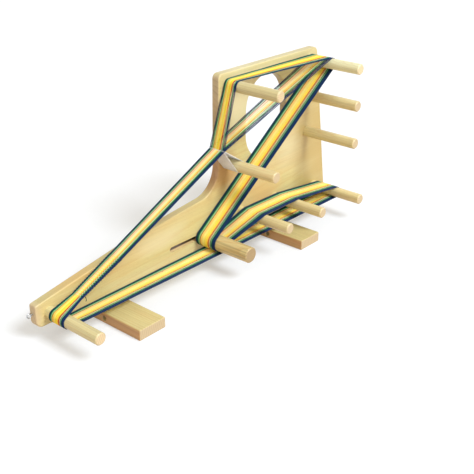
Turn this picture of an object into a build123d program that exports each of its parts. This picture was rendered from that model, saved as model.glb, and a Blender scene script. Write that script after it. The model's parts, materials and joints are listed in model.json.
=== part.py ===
from build123d import *
import os
from math import asin, atan2, cos, degrees, hypot, radians, sin, sqrt

# Table inkle loom with a warp on it.
# Frame: X runs along the loom from the weaver's end (-X) to the tall end (+X), the pegs point to -Y and Z is up.
# The origin is on the table, at the middle of the side board's length and thickness. All sizes are in mm.

# ---------------------------------------------------------------- side board
BOARD_LENGTH = 709.0        # front end to rear bottom corner
BOARD_THICKNESS = 15.0
BOARD_HEIGHT = 315.0
BOARD_EDGE_ROUND = 2.5      # worn edges of the board, its window too
ARM_FRONT_TOP = 60.5        # height of the arm's top edge at the front end
ARM_BEND_SETBACK = 225.0    # where the arm's top edge bends gently
ARM_BEND_TOP = 99.5
ARM_REAR_SLOPE = 0.105      # rise of the arm's top edge behind that bend
ARM_BEND_RADIUS = 420.0
NOSE_BOTTOM = 23.0          # the arm's underside at the front end stands off the table
NOSE_LENGTH = 30.0
TABLE_EDGE_SETBACK = 83.0   # from here to the rear the board stands on the table
NOSE_TOP_RADIUS = 3.5
NOSE_BOTTOM_RADIUS = 12.0
NOSE_RISE_RADIUS = 40.0
PANEL_WIDTH = 321.0         # tall panel, from its front edge to the rear bottom corner
PANEL_FILLET = 48.0         # hollow between arm and tall panel
PANEL_FRONT_RADIUS = 9.0
PANEL_REAR_RADIUS = 12.0
REAR_LEAN = 0.162           # the rear edge leans forwards as it rises
REAR_FOOT_RADIUS = 4.0

# ---------------------------------------------------------------- cut-out in the tall panel
WINDOW_WIDTH = 110.0
WINDOW_HEIGHT = 150.0
WINDOW_INSET = 126.0        # window's middle behind the panel's front edge
WINDOW_DROP = 97.0          # window's middle below the board's top edge

# ---------------------------------------------------------------- feet
FOOT_WIDTH = 52.0
FOOT_THICKNESS = 17.5
FOOT_REACH = 104.5
FOOT_EDGE_ROUND = 1.5
FRONT_FOOT_SETBACK = 125.0
REAR_FOOT_INSET = 127.0     # rear foot's middle behind the panel's front edge
FOOT_BOLT_D = 6.0
FOOT_BOLT_REACH = 34.0      # length of the bolt inside the foot
FOOT_BOLT_HEAD_D = 13.0
FOOT_BOLT_HEAD_T = 3.0
HEX_SOCKET = 4.0
BARREL_NUT_D = 9.0
BARREL_NUT_LENGTH = 16.0
BARREL_NUT_SETBACK = 28.0   # from the board's front face
FOOT_DOWEL_D = 6.0
FOOT_DOWEL_LENGTH = 26.0
FOOT_DOWEL_SPACING = 34.0

# ---------------------------------------------------------------- pegs
PEG_D = 19.0
PEG_REACH = 110.0           # free length in front of the board
PEG_SEAT = 10.0             # depth of the blind socket in the board
PEG_CHAMFER = 1.5
PEG_SCREW_D = 4.0
PEG_SCREW_HEAD_D = 8.5
PEG_SCREW_LENGTH = 40.0
LOW_PEG_HEIGHT = 42.5       # front peg and lower rear peg share this height
FRONT_PEG_SETBACK = 23.5
TOP_PEG_DROP = 19.5         # top pegs below the board's top edge
TOP_FRONT_PEG_INSET = 21.0  # this inset and the next two are from the panel's front edge
HEDDLE_PEG_INSET = 16.5
LOWER_FRONT_PEG_INSET = 59.0
REAR_COLUMN_INSET = 75.0    # this inset and the next two are from the rear bottom corner
LOWER_MIDDLE_PEG_INSET = 166.0
LOWER_REAR_PEG_INSET = 43.5
UPPER_PEG_SPACING = 66.0    # down the rear column, from the top peg
MIDDLE_PEG_SPACING = 69.0
HEDDLE_PEG_HEIGHT = 163.0
LOWER_FRONT_PEG_HEIGHT = 58.0
LOWER_MIDDLE_PEG_HEIGHT = 55.5

# ---------------------------------------------------------------- warp tensioner
TENSION_PEG_D = 26.5
TENSION_PEG_LEAD = 45.5     # rest place of the tension peg in front of the panel's front edge
TENSION_FORWARD_TRAVEL = 70.0
TENSION_REAR_TRAVEL = 21.0
SLOT_HEIGHT = 9.0
TENSION_BOLT_D = 8.0
TENSION_BOLT_IN_PEG = 40.0
TENSION_WASHER_D = 28.0
TENSION_WASHER_T = 2.0
SLIDE_GAP = 0.25            # peg and washer to the board's faces, when the knob is slack
KNOB_D = 34.0
KNOB_HEIGHT = 22.0
KNOB_BEVEL = 3.0
KNOB_LOBES = 7
KNOB_LOBE_D = 9.0
KNOB_INSERT_D = 13.0
KNOB_INSERT_LENGTH = 14.0
THREAD_CLEARANCE = 0.05
BOLT_TAIL = 3.0             # bolt end inside the knob, beyond the insert

# ---------------------------------------------------------------- screw eye in the front end
EYE_WIRE_D = 2.2
EYE_INNER_D = 4.4
EYE_SHANK = 14.0
EYE_NECK = 2.0
EYE_HEIGHT = 46.0

# ---------------------------------------------------------------- warp and heddles
BAND_THICKNESS = 1.2        # one layer of yarn
YARN_GAP = 0.3              # plain band solids stay this far off the pegs
STRAND_GAP = 0.35           # bottom return to the tension peg's wrap
HEDDLE_LEAD = 41.5          # the string heddles hold the heddled layer this far in front of their peg
HEDDLE_RISE = 37.0          # and this far above it
HEDDLE_STRING_D = 1.2
HEDDLE_COUNT = 12
HEDDLE_TIP_RADIUS = 1.6
BAND_EDGES = {              # the band's two edges at each place, as distances from the board's front face
    "front_peg": (11.0, 44.0),
    "heddle_point": (1.5, 35.0),
    "top_front_peg": (1.0, 28.0),
    "top_rear_peg": (4.5, 51.0),
    "tension_peg": (1.0, 44.0),
    "lower_front_peg": (7.0, 57.0),
    "lower_middle_peg": (5.5, 54.5),
    "lower_rear_peg": (8.5, 57.0),
}
FIT = 0.05                  # glue and press clearance, per side

FRONT_END = -BOARD_LENGTH / 2
FRONT_FACE = -BOARD_THICKNESS / 2
BACK_FACE = BOARD_THICKNESS / 2
PANEL_SETBACK = BOARD_LENGTH - PANEL_WIDTH
TENSION_HEIGHT = LOW_PEG_HEIGHT - PEG_D / 2 + STRAND_GAP + BAND_THICKNESS + TENSION_PEG_D / 2
front_plane = Plane.XZ.offset(BOARD_THICKNESS / 2)      # its normal points to -Y, out of the front face


def at(setback, height):
    """A point of the front view, from the distance behind the front end and the height over the table."""
    return (FRONT_END + setback, height)


TOP_PEG_HEIGHT = BOARD_HEIGHT - TOP_PEG_DROP
REAR_COLUMN = BOARD_LENGTH - REAR_COLUMN_INSET
PEGS = {
    "front_peg": at(FRONT_PEG_SETBACK, LOW_PEG_HEIGHT),
    "top_front_peg": at(PANEL_SETBACK + TOP_FRONT_PEG_INSET, TOP_PEG_HEIGHT),
    "top_rear_peg": at(REAR_COLUMN, TOP_PEG_HEIGHT),
    "upper_rear_peg": at(REAR_COLUMN, TOP_PEG_HEIGHT - UPPER_PEG_SPACING),
    "middle_rear_peg": at(REAR_COLUMN, TOP_PEG_HEIGHT - UPPER_PEG_SPACING - MIDDLE_PEG_SPACING),
    "heddle_peg": at(PANEL_SETBACK + HEDDLE_PEG_INSET, HEDDLE_PEG_HEIGHT),
    "lower_front_peg": at(PANEL_SETBACK + LOWER_FRONT_PEG_INSET, LOWER_FRONT_PEG_HEIGHT),
    "lower_middle_peg": at(BOARD_LENGTH - LOWER_MIDDLE_PEG_INSET, LOWER_MIDDLE_PEG_HEIGHT),
    "lower_rear_peg": at(BOARD_LENGTH - LOWER_REAR_PEG_INSET, LOW_PEG_HEIGHT),
}
TENSION_SETBACK = PANEL_SETBACK - TENSION_PEG_LEAD
TENSION_AXIS = at(TENSION_SETBACK, TENSION_HEIGHT)
HEDDLE_POINT = (PEGS["heddle_peg"][0] - HEDDLE_LEAD, PEGS["heddle_peg"][1] + HEDDLE_RISE)
FOOT_CENTRES = [at(FRONT_FOOT_SETBACK, 0)[0], at(PANEL_SETBACK + REAR_FOOT_INSET, 0)[0]]


def bar(centre, diameter, y_from, y_to):
    """A round bar along Y at centre = (x, z)."""
    return Pos(centre[0], y_from, centre[1]) * Rot(X=90) * extrude(Circle(diameter / 2), -(y_to - y_from))


# ---------------------------------------------------------------- wooden frame
def board_outline():
    panel_foot = ARM_BEND_TOP + ARM_REAR_SLOPE * (PANEL_SETBACK - ARM_BEND_SETBACK)
    rear_top = BOARD_LENGTH - REAR_LEAN * BOARD_HEIGHT
    corners = [
        (at(0, ARM_FRONT_TOP), NOSE_TOP_RADIUS),
        (at(ARM_BEND_SETBACK, ARM_BEND_TOP), ARM_BEND_RADIUS),
        (at(PANEL_SETBACK, panel_foot), PANEL_FILLET),
        (at(PANEL_SETBACK, BOARD_HEIGHT), PANEL_FRONT_RADIUS),
        (at(rear_top, BOARD_HEIGHT), PANEL_REAR_RADIUS),
        (at(BOARD_LENGTH, 0), REAR_FOOT_RADIUS),
        (at(TABLE_EDGE_SETBACK, 0), NOSE_RISE_RADIUS),
        (at(NOSE_LENGTH, NOSE_BOTTOM), NOSE_RISE_RADIUS),
        (at(0, NOSE_BOTTOM), NOSE_BOTTOM_RADIUS),
    ]
    points = [point for point, radius in corners]
    radii = [radius for point, radius in corners]
    return FilletPolyline(*points, radius=radii, close=True)


def side_board():
    """One plank: arm, tall panel, window, tension slot, sockets and screw holes."""
    window_centre = at(PANEL_SETBACK + WINDOW_INSET, BOARD_HEIGHT - WINDOW_DROP)
    window = Pos(*window_centre) * SlotOverall(WINDOW_HEIGHT, WINDOW_WIDTH, rotation=90)
    profile = make_face(board_outline()) - window
    plank = extrude(front_plane * profile, -BOARD_THICKNESS)
    rims = plank.edges().filter_by(lambda e: abs(abs(e.center().Y) - BOARD_THICKNESS / 2) < 1e-6
                                   and e.bounding_box().size.Y < 1e-6)
    plank = fillet(rims, BOARD_EDGE_ROUND)

    travel = TENSION_FORWARD_TRAVEL + TENSION_REAR_TRAVEL
    slot_middle = TENSION_SETBACK + (TENSION_REAR_TRAVEL - TENSION_FORWARD_TRAVEL) / 2
    slot = Pos(*at(slot_middle, TENSION_HEIGHT)) * SlotOverall(travel + SLOT_HEIGHT, SLOT_HEIGHT)
    plank -= extrude(front_plane * slot, -BOARD_THICKNESS)
    for axis in PEGS.values():
        plank -= bar(axis, PEG_D + 2 * FIT, FRONT_FACE - 1, FRONT_FACE + PEG_SEAT)
        plank -= peg_screw(axis, FIT)
    for x in FOOT_CENTRES:
        plank -= foot_bolt(x, FIT)
        for dowel in foot_dowels(x, FIT):
            plank -= dowel
    return plank - screw_eye_shank(FIT)


def foot(x):
    """A flat slat butted against the board's front face, with its end and long edges eased."""
    slat = Pos(x, FRONT_FACE - FOOT_REACH / 2, FOOT_THICKNESS / 2) * Box(FOOT_WIDTH, FOOT_REACH, FOOT_THICKNESS)
    outer_end = slat.faces().sort_by(Axis.Y)[0]
    sides = slat.edges().filter_by(Axis.Y)
    slat = fillet(sides + outer_end.edges(), FOOT_EDGE_ROUND)
    nut_depth = FOOT_WIDTH / 2 + BARREL_NUT_LENGTH / 2
    nut_hole = extrude(Circle(BARREL_NUT_D / 2 + FIT), nut_depth)
    slat -= Pos(x - FOOT_WIDTH / 2, FRONT_FACE - BARREL_NUT_SETBACK, FOOT_THICKNESS / 2) * Rot(Y=90) * nut_hole
    slat -= foot_bolt(x, FIT)
    for dowel in foot_dowels(x, FIT):
        slat -= dowel
    return slat


def foot_bolt(x, grow=0.0):
    """A connector bolt from the back of the board into the foot; its head is sunk flush."""
    centre = (x, FOOT_THICKNESS / 2)
    head_from = BACK_FACE - FOOT_BOLT_HEAD_T
    bolt = bar(centre, FOOT_BOLT_D + 2 * grow, FRONT_FACE - FOOT_BOLT_REACH - grow, head_from)
    bolt += bar(centre, FOOT_BOLT_HEAD_D + 2 * grow, head_from, BACK_FACE)
    return bolt


def foot_bolts():
    socket = extrude(RegularPolygon(HEX_SOCKET / 2, 6, major_radius=False), FOOT_BOLT_HEAD_T * 0.7)
    bolts = []
    for x in FOOT_CENTRES:
        bolts.append(foot_bolt(x) - Pos(x, BACK_FACE, FOOT_THICKNESS / 2) * Rot(X=90) * socket)
    return bolts


def barrel_nuts():
    """Cross dowels in the feet, each with a clear hole for its bolt."""
    nuts = []
    for x in FOOT_CENTRES:
        y = FRONT_FACE - BARREL_NUT_SETBACK
        nut = Pos(x, y, FOOT_THICKNESS / 2) * Rot(Y=90) * Cylinder(BARREL_NUT_D / 2, BARREL_NUT_LENGTH)
        nuts.append(nut - bar((x, FOOT_THICKNESS / 2), FOOT_BOLT_D + 2 * FIT, y - BARREL_NUT_D, y + BARREL_NUT_D))
    return nuts


def foot_dowels(x, grow=0.0):
    """The two locating dowels of one foot, half in the foot and half in the board."""
    dowels = []
    for side in (-1, 1):
        centre = (x + side * FOOT_DOWEL_SPACING / 2, FOOT_THICKNESS / 2)
        in_board = min(FOOT_DOWEL_LENGTH, BOARD_THICKNESS) / 2
        in_foot = FOOT_DOWEL_LENGTH - in_board
        dowels.append(bar(centre, FOOT_DOWEL_D + 2 * grow, FRONT_FACE - in_foot - grow, FRONT_FACE + in_board + grow))
    return dowels


def peg(centre):
    """A chamfered dowel seated in its socket, with a pilot hole for the screw from behind."""
    dowel = bar(centre, PEG_D, FRONT_FACE - PEG_REACH, FRONT_FACE + PEG_SEAT)
    tip = dowel.faces().sort_by(Axis.Y)[0]
    return chamfer(tip.edges(), PEG_CHAMFER) - peg_screw(centre, FIT)


def peg_screw(centre, grow=0.0):
    """A countersunk wood screw from the board's back face into the end of a peg."""
    shank = PEG_SCREW_D / 2 + grow
    head = PEG_SCREW_HEAD_D / 2 + grow
    length = PEG_SCREW_LENGTH + grow
    profile = Polyline((0, 0), (head, 0), (shank, head - shank), (shank, length - 2 * shank), (0, length), close=True)
    turned = revolve(make_face(profile), Axis.Y)
    return Pos(centre[0], BACK_FACE, centre[1]) * Rot(X=180) * turned


def peg_screws():
    return [peg_screw(axis) for axis in PEGS.values()]


# ---------------------------------------------------------------- warp tensioner
WASHER_FROM = BACK_FACE + SLIDE_GAP
KNOB_FROM = WASHER_FROM + TENSION_WASHER_T + SLIDE_GAP


def tension_peg():
    """The thick peg that slides along the front face, bored for the hanger bolt."""
    dowel = bar(TENSION_AXIS, TENSION_PEG_D, FRONT_FACE - PEG_REACH, FRONT_FACE - SLIDE_GAP)
    tip = dowel.faces().sort_by(Axis.Y)[0]
    dowel = chamfer(tip.edges(), PEG_CHAMFER)
    bore_from = FRONT_FACE - SLIDE_GAP - TENSION_BOLT_IN_PEG
    return dowel - bar(TENSION_AXIS, TENSION_BOLT_D + 2 * FIT, bore_from - FIT, FRONT_FACE)


def tension_bolt():
    """The hanger bolt: held in the peg, through the slot, with its thread in the knob's insert."""
    start = FRONT_FACE - SLIDE_GAP - TENSION_BOLT_IN_PEG
    end = KNOB_FROM + KNOB_INSERT_LENGTH + BOLT_TAIL
    bolt = bar(TENSION_AXIS, TENSION_BOLT_D, start, end)
    return chamfer(bolt.faces().sort_by(Axis.Y)[-1].edges(), 0.8)


def tension_washer():
    washer = bar(TENSION_AXIS, TENSION_WASHER_D, WASHER_FROM, WASHER_FROM + TENSION_WASHER_T)
    return washer - bar(TENSION_AXIS, TENSION_BOLT_D + 2 * FIT, WASHER_FROM - 1, KNOB_FROM)


def knob_insert():
    insert = bar(TENSION_AXIS, KNOB_INSERT_D, KNOB_FROM, KNOB_FROM + KNOB_INSERT_LENGTH)
    return insert - bar(TENSION_AXIS, TENSION_BOLT_D + 2 * THREAD_CLEARANCE, KNOB_FROM - 1, KNOB_FROM + KNOB_HEIGHT)


def tension_knob():
    """A round hand knob with finger hollows round its rim and bevelled ends."""
    y_to = KNOB_FROM + KNOB_HEIGHT
    knob = bar(TENSION_AXIS, KNOB_D, KNOB_FROM, y_to)
    knob = chamfer(knob.faces().sort_by(Axis.Y)[-1].edges(), KNOB_BEVEL)
    knob = chamfer(knob.faces().sort_by(Axis.Y)[0].edges(), KNOB_BEVEL / 3)
    for i in range(KNOB_LOBES):
        turn = radians(360 * i / KNOB_LOBES)
        reach = KNOB_D / 2 + KNOB_LOBE_D / 4
        hollow = (TENSION_AXIS[0] + reach * cos(turn), TENSION_AXIS[1] + reach * sin(turn))
        knob -= bar(hollow, KNOB_LOBE_D, KNOB_FROM - 1, y_to + 1)
    bore_to = KNOB_FROM + KNOB_INSERT_LENGTH
    knob -= bar(TENSION_AXIS, KNOB_INSERT_D + 2 * FIT, KNOB_FROM - 1, bore_to)
    return knob - bar(TENSION_AXIS, TENSION_BOLT_D + 1.0, bore_to - 1, bore_to + BOLT_TAIL + 1)


# ---------------------------------------------------------------- screw eye
EYE_RING_RADIUS = (EYE_INNER_D + EYE_WIRE_D) / 2


def screw_eye_shank(grow=0.0):
    """The threaded shank in the middle of the arm's front end, with a point."""
    radius = EYE_WIRE_D / 2 + grow
    shank = extrude(Circle(radius), EYE_SHANK - radius)
    shank += Pos(0, 0, EYE_SHANK - radius) * extrude(Circle(radius), radius * 0.9, taper=40)
    return Pos(FRONT_END, 0, EYE_HEIGHT) * Rot(Y=90) * shank


def front_screw_eye():
    ring_x = FRONT_END - EYE_NECK - EYE_INNER_D / 2 - EYE_WIRE_D
    ring = Pos(ring_x, 0, EYE_HEIGHT) * Rot(X=90) * Torus(EYE_RING_RADIUS, EYE_WIRE_D / 2)
    neck = extrude(Circle(EYE_WIRE_D / 2), EYE_NECK + EYE_WIRE_D / 2)
    neck = Pos(FRONT_END - EYE_NECK - EYE_WIRE_D / 2, 0, EYE_HEIGHT) * Rot(Y=90) * neck
    return ring + neck + screw_eye_shank()


# ---------------------------------------------------------------- warp
PATH_OFFSET = YARN_GAP + BAND_THICKNESS / 2
PATH_RADIUS = {name: PEG_D / 2 + PATH_OFFSET for name in PEGS}
PATH_RADIUS["tension_peg"] = TENSION_PEG_D / 2 + PATH_OFFSET
PATH_RADIUS["heddle_point"] = 0.0
PATH_CENTRE = dict(PEGS, tension_peg=TENSION_AXIS, heddle_point=HEDDLE_POINT)
TURN = {name: -1 for name in PATH_RADIUS}       # clockwise, seen from the front
TURN["tension_peg"] = 1                         # the band passes the tension peg the other way


def run(first, second):
    """Start, end and direction angle of the straight run of yarn from one place to the next."""
    (x1, z1), (x2, z2) = PATH_CENTRE[first], PATH_CENTRE[second]
    side1 = PATH_RADIUS[first] * TURN[first]
    side2 = PATH_RADIUS[second] * TURN[second]
    angle = atan2(z2 - z1, x2 - x1) - asin((side2 - side1) / hypot(x2 - x1, z2 - z1))
    across = (sin(angle), -cos(angle))
    start = (x1 + side1 * across[0], z1 + side1 * across[1])
    end = (x2 + side2 * across[0], z2 + side2 * across[1])
    return start, end, angle


def stretch(first, second, start_cut=0.0, end_cut=0.0):
    """A flat stretch of band between two places; its edges follow BAND_EDGES. The cuts leave out mm at its ends."""
    start, end, angle = run(first, second)
    length = hypot(end[0] - start[0], end[1] - start[1])

    def edge(side, along):
        from_first, from_second = BAND_EDGES[first][side], BAND_EDGES[second][side]
        return (along, from_first + (from_second - from_first) * along / length)

    plane = Plane(origin=(start[0], FRONT_FACE, start[1]), x_dir=(cos(angle), 0, sin(angle)),
                  z_dir=(sin(angle), 0, -cos(angle)))
    to = length - end_cut
    outline = Polyline(edge(0, start_cut), edge(0, to), edge(1, to), edge(1, start_cut), close=True)
    return extrude(plane * make_face(outline), BAND_THICKNESS / 2, both=True)


def wrap(name, before, after):
    """The band where it lies round a peg, between the runs that come from before and go on to after."""
    turn = TURN[name]
    arrive = degrees(run(before, name)[2]) - 90 * turn
    leave = degrees(run(name, after)[2]) - 90 * turn
    sweep = (leave - arrive) % (360 * turn)
    middle = PATH_RADIUS[name]
    centre = PATH_CENTRE[name]
    inner = CenterArc(centre, middle - BAND_THICKNESS / 2, arrive, sweep)
    outer = CenterArc(centre, middle + BAND_THICKNESS / 2, arrive, sweep)
    face = make_face([inner, outer, Line(inner @ 0, outer @ 0), Line(inner @ 1, outer @ 1)])
    near, far = BAND_EDGES[name]
    return extrude(front_plane.offset(near) * face, far - near)


def rise_cut():
    """How far up its run the heddled layer starts, to stand clear on the open layer's upper face."""
    spread = run("heddle_point", "top_front_peg")[2] - run("heddle_point", "top_rear_peg")[2]
    return (BAND_THICKNESS / 2 * (1 + cos(spread)) + YARN_GAP) / sin(spread)


def landing_cut():
    """How far before the top rear peg the top stretch ends, clear of the open layer that already lies round it."""
    return sqrt(2 * BAND_THICKNESS * PATH_RADIUS["top_rear_peg"]) + YARN_GAP


def string_heddles():
    """A row of tear-drop string loops round the heddle peg, with their tips under the band at the heddle point."""
    axis = PEGS["heddle_peg"]
    reach = hypot(HEDDLE_LEAD, HEDDLE_RISE)
    tip_reach = reach - HEDDLE_TIP_RADIUS - BAND_THICKNESS - YARN_GAP
    tip = (axis[0] - HEDDLE_LEAD * tip_reach / reach, axis[1] + HEDDLE_RISE * tip_reach / reach)
    peg_side = PEG_D / 2 + YARN_GAP

    def drop(grow):
        rings = Pos(*axis) * Circle(peg_side + grow) + Pos(*tip) * Circle(HEDDLE_TIP_RADIUS - HEDDLE_STRING_D + grow)
        return make_hull(rings.edges())

    loop = drop(HEDDLE_STRING_D) - drop(0)
    near, far = BAND_EDGES["heddle_point"]
    pitch = (far - near - HEDDLE_STRING_D) / (HEDDLE_COUNT - 1)
    first = extrude(front_plane.offset(near) * loop, HEDDLE_STRING_D)
    return [Pos(0, -i * pitch, 0) * first for i in range(HEDDLE_COUNT)]


def build():
    """Every sub-part of the loom, by name."""
    nodes = {
        "side_board": side_board(),
        "front_foot": foot(FOOT_CENTRES[0]),
        "rear_foot": foot(FOOT_CENTRES[1]),
        "foot_bolts": foot_bolts(),
        "barrel_nuts": barrel_nuts(),
        "foot_dowels": foot_dowels(FOOT_CENTRES[0]) + foot_dowels(FOOT_CENTRES[1]),
        "peg_screws": peg_screws(),
        "tension_peg": tension_peg(),
        "tension_bolt": tension_bolt(),
        "tension_washer": tension_washer(),
        "tension_knob": tension_knob(),
        "knob_insert": knob_insert(),
        "front_screw_eye": front_screw_eye(),
        "string_heddles": string_heddles(),
        "warp_front_wrap": wrap("front_peg", "lower_rear_peg", "heddle_point"),
        "warp_weaving_stretch": stretch("front_peg", "heddle_point"),
        "warp_heddled_rise": stretch("heddle_point", "top_front_peg", rise_cut()),
        "warp_top_front_wrap": wrap("top_front_peg", "heddle_point", "top_rear_peg"),
        "warp_top_stretch": stretch("top_front_peg", "top_rear_peg", 0, landing_cut()),
        "warp_open_layer": stretch("heddle_point", "top_rear_peg", YARN_GAP),
        "warp_top_rear_wrap": wrap("top_rear_peg", "heddle_point", "tension_peg"),
        "warp_back_stretch": stretch("top_rear_peg", "tension_peg"),
        "warp_tension_wrap": wrap("tension_peg", "top_rear_peg", "lower_front_peg"),
        "warp_tension_return": stretch("tension_peg", "lower_front_peg"),
        "warp_lower_return": [
            wrap("lower_front_peg", "tension_peg", "lower_middle_peg"),
            stretch("lower_front_peg", "lower_middle_peg"),
            wrap("lower_middle_peg", "lower_front_peg", "lower_rear_peg"),
            stretch("lower_middle_peg", "lower_rear_peg"),
            wrap("lower_rear_peg", "lower_middle_peg", "front_peg"),
        ],
        "warp_bottom_return": stretch("lower_rear_peg", "front_peg"),
    }
    for name, axis in PEGS.items():
        nodes[name] = peg(axis)
    return nodes


os.makedirs("parts", exist_ok=True)
for name, made in build().items():
    shape = Compound(children=[s for s in made]) if isinstance(made, list) else made
    export_step(shape, f"parts/{name}.step")
print("tension axis", TENSION_AXIS, "slot travel", -TENSION_FORWARD_TRAVEL, TENSION_REAR_TRAVEL)
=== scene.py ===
import json
import math
import random
from collections import namedtuple

import bpy
import numpy as np
from mathutils import Matrix, Vector


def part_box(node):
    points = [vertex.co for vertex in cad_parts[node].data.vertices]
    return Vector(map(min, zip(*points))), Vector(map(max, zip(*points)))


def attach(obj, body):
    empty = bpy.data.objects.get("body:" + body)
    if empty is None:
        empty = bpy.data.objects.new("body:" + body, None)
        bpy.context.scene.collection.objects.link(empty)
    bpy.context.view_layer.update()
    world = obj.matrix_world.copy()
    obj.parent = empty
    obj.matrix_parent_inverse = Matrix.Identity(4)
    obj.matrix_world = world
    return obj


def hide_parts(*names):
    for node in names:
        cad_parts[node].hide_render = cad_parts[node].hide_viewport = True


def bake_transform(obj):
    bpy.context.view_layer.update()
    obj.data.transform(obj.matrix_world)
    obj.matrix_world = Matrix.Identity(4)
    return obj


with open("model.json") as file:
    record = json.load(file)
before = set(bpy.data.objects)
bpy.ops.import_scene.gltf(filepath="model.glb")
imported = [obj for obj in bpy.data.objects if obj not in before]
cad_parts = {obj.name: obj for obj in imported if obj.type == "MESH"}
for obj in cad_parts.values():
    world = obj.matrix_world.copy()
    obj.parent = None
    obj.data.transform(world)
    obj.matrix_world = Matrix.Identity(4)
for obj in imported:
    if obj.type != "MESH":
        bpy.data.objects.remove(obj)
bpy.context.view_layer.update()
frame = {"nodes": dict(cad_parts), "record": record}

# Looks of a table inkle loom with a warp on it. Lengths are in metres, in the part's own frame: X runs along
# the loom towards its tall end, the pegs point to -Y, and Z is up. The wood and the metal are the CAD nodes
# themselves. The warp and the heddles are made here, yarn by yarn, along the belt that the pegs give.
MM = 0.001
NODES = frame["nodes"]
SEED = 7

# ---------------------------------------------------------------- places, read from the frame
HEDDLED, OPEN = "heddled", "open"               # the two layers of the warp
EDGE_REACH = 14 * MM         # how near to a place its vertices are looked for
TIP_REACH = 2 * MM           # and how near to the end of a stretch
FRONT_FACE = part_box("front_foot")[1].y          # the feet butt against the board's front face


def vertices_of(node):
    """The vertices of a node's mesh, as rows of x, y and z."""
    mesh = NODES[node].data
    co = np.zeros(len(mesh.vertices) * 3)
    mesh.vertices.foreach_get("co", co)
    return co.reshape(-1, 3)


def axis_of(node):
    """Axis (x, z) and radius of a peg."""
    low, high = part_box(node)
    return ((low.x + high.x) / 2, (low.z + high.z) / 2), (high.z - low.z) / 2


def edges_of(node):
    """The two edges of a wrap, as distances from the board's front face."""
    low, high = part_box(node)
    return FRONT_FACE - high.y, FRONT_FACE - low.y


def edges_near(node, x):
    """The two edges of a long stretch of the band where it passes a place along X."""
    co = vertices_of(node)
    y = co[abs(co[:, 0] - x) < EDGE_REACH, 1]
    return FRONT_FACE - y.max(), FRONT_FACE - y.min()


LOWER_PEGS = ["lower_front_peg", "lower_middle_peg", "lower_rear_peg"]
PEG_NAMES = ["front_peg", "top_front_peg", "top_rear_peg", "heddle_peg", "tension_peg", *LOWER_PEGS]
CENTRE = {name: axis_of(name)[0] for name in PEG_NAMES}
RADIUS = {name: axis_of(name)[1] for name in PEG_NAMES}
WEAVING = vertices_of("warp_weaving_stretch")
WEAVING_END = WEAVING[:, 0].max()
CENTRE["heddle_point"] = (WEAVING_END, WEAVING[WEAVING[:, 0] > WEAVING_END - TIP_REACH, 2].mean())
EDGES = {
    "front_peg": edges_of("warp_front_wrap"),
    "heddle_point": edges_of("string_heddles"),
    "top_front_peg": edges_of("warp_top_front_wrap"),
    "top_rear_peg": edges_of("warp_top_rear_wrap"),
    "tension_peg": edges_of("warp_tension_wrap"),
    **{name: edges_near("warp_lower_return", CENTRE[name][0]) for name in LOWER_PEGS},
}

# ---------------------------------------------------------------- the belt's route
ROUTES = {
    HEDDLED: ["front_peg", "heddle_point", "top_front_peg", "top_rear_peg", "tension_peg", *LOWER_PEGS],
    OPEN: ["front_peg", "heddle_point", "top_rear_peg", "tension_peg", *LOWER_PEGS],
}
TURN = {name: -1 for name in CENTRE}            # clockwise, seen from the front
TURN["tension_peg"] = 1                         # the belt passes the tension peg the other way
WEAVING_RUN = ("front_peg", "heddle_point")
BOTTOM_RUN = ("lower_rear_peg", "front_peg")
BACK_RUN = ("top_rear_peg", "tension_peg")
RETURN_RUN = ("tension_peg", "lower_front_peg")
SINGLE_RUNS = {("heddle_point", "top_front_peg"), ("top_front_peg", "top_rear_peg"),
               ("heddle_point", "top_rear_peg")}        # of one layer alone
HEDDLE_BEND = 2.2 * MM       # radius of the heddled layer's bend at the heddles
HEDDLE_SHIFT = 0.7 * HEDDLE_BEND                # how far its centre is forward of the heddles and above them

# ---------------------------------------------------------------- yarn
YARN_RADIUS = 0.37 * MM
YARN_SIDES = 6
MID_LIE = 0.70 * MM          # from a peg's surface to the middle of the two interleaved layers
LAYER_SIDE = {HEDDLED: -1, OPEN: 1}             # the open layer lies on the outside of the belt
TURNED_OVER = "front_peg"                       # and on the inside here, from the woven start to the return
LAYER_PARTING = 0.4          # how far a crowded layer moves off the belt's middle, in yarn diameters
HEDDLE_PARTING = 1.6         # and how many times as far at the heddle point
SWAP_ON_RETURN = 25 * MM     # from the front peg to where the layers change sides on the bottom return
SWAP_REACH = 15 * MM         # on either side of the place where they change sides
STRAIGHT_STEP = 9 * MM
SLIDING_STEP = 14 * MM       # the same on the runs beside the sliding peg, which are in short pieces
ARC_STEP = math.radians(9)
WANDER = 0.10 * MM           # how far a yarn strays sideways between pegs
LOOSE_WANDER = 0.30 * MM     # and where its layer runs alone
STRAY_FADE = 20 * MM         # over which that dies out towards a peg
DRIFT_WAVES = 3              # slow waves that a stray is made of
DRIFT_HEIGHTS = (0.4, 1)     # the range of their heights, as shares of the stray
DRIFT_LENGTHS = (50, 160)    # and of their lengths, in millimetres
BRIGHTNESS = (0.93, 1.04)    # the range from yarn to yarn
THICKNESS = (0.94, 1.04)

WOVEN_FROM, WOVEN_TO = 35 * MM, 121 * MM        # the woven start of the band, along the weaving stretch
WOVEN_EDGES_FROM, WOVEN_EDGES_TO = (16.3 * MM, 39.8 * MM), (12.3 * MM, 40.6 * MM)
WOVEN_MARGIN = 2 * MM        # no other points this near to it
WOVEN_STEPS = 4              # points for each pick
PICK_PITCH = 2.15 * MM
PICK_LIFT = 0.48 * MM
OPEN_FLOAT = 0.20 * MM       # how much higher the open layer lies in the woven start

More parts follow.
